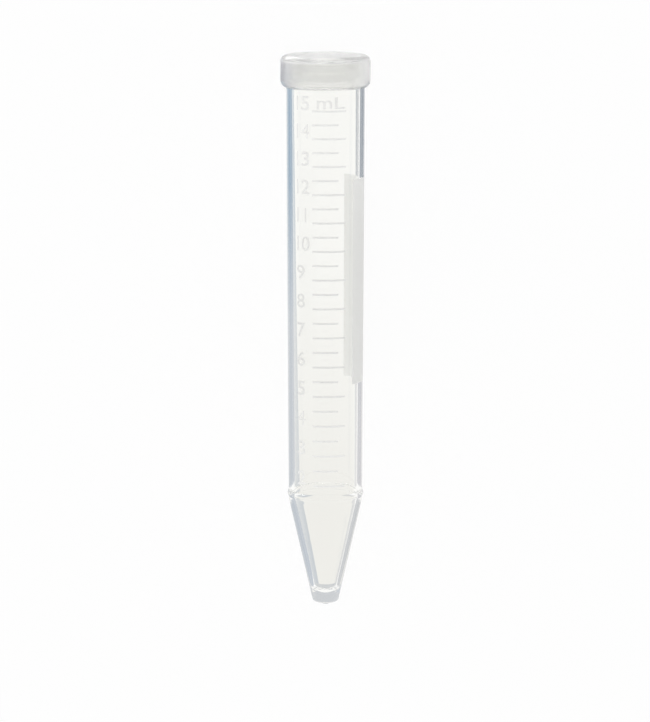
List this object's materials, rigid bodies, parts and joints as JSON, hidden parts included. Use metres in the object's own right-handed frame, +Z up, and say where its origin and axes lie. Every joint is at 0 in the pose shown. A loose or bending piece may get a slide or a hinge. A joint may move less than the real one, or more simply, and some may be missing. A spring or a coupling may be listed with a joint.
{
  "type": "15 ml conical centrifuge tube",
  "caption": "Clear graduated centrifuge tube with a straight barrel, a cone with a rounded tip, a stacking bead and a push-on plug cap, lying on its side.",
  "frame": {"origin": "on the ground under the middle of the overall length", "axes": "+Z up from the ground the tube lies on; +Y along the tube towards the cap; +X to the right seen from the tip with +Z up"},
  "size_m": [0.0194, 0.1216, 0.0196],
  "materials": {
    "clear_polystyrene": "injection-moulded clear polystyrene, high gloss, water clear",
    "natural_polyethylene": "injection-moulded natural low-density polyethylene, milky and translucent, satin"
  },
  "bodies": {
    "tube": {"tube": "clear_polystyrene"},
    "cap": {"cap": "natural_polyethylene"}
  },
  "joints": [
    {"name": "cap_pull", "type": "slide", "parent": "tube", "child": "cap", "axis": [0, 0.9999, 0.0153], "range_m": [0, 0.03]}
  ]
}
